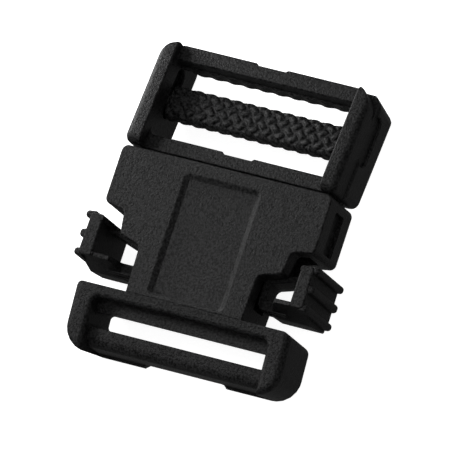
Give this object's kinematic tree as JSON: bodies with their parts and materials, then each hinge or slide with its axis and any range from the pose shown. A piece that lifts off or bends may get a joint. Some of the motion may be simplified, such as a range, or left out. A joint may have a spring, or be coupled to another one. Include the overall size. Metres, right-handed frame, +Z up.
{
  "type": "side-release buckle",
  "caption": "Side-release webbing buckle, latched, with flat hollow socket, ridged squeeze grips, fixed web frame and a plug frame with a knurled sliding adjuster bar.",
  "frame": {"origin": "middle of the buckle's footprint on the surface it lies on", "axes": "+Z up, out of the front of the buckle; +Y along the buckle from the fixed web frame to the plug's web frame; X across the webbing, the mirror plane is X = 0"},
  "size_m": [0.0706, 0.0888, 0.0233],
  "materials": {
    "body_plastic": "fine moulded grain, matte black",
    "plug_plastic": "fine moulded grain, matte black",
    "grip_plastic": "satin black",
    "bar_plastic": "knurled, satin black"
  },
  "bodies": {
    "socket": {"socket": "body_plastic"},
    "plug": {"plug_frame": "plug_plastic"},
    "left_arm": {"arm_left": "grip_plastic"},
    "right_arm": {"arm_right": "grip_plastic"},
    "slider": {"slider_bar": "bar_plastic"}
  },
  "joints": [
    {"name": "plug_play", "type": "slide", "parent": "socket", "child": "plug", "axis": [0, 0.9987, 0.0519], "range_m": [0, 0.0034]},
    {"name": "squeeze_left", "type": "hinge", "parent": "plug", "child": "left_arm", "pos_m": [-0.0204, 0.01324, 0.01304], "axis": [0, -0.0519, 0.9987], "range_deg": [0, 5], "stiffness_Nm_per_rad": 0.2},
    {"name": "squeeze_right", "type": "hinge", "parent": "plug", "child": "right_arm", "pos_m": [0.0204, 0.01324, 0.01304], "axis": [0, 0.0519, -0.9987], "range_deg": [0, 5], "stiffness_Nm_per_rad": 0.2},
    {"name": "slider_travel", "type": "slide", "parent": "plug", "child": "slider", "axis": [0, 0.9935, -0.1137], "range_m": [-0.002, 0.0038]}
  ]
}
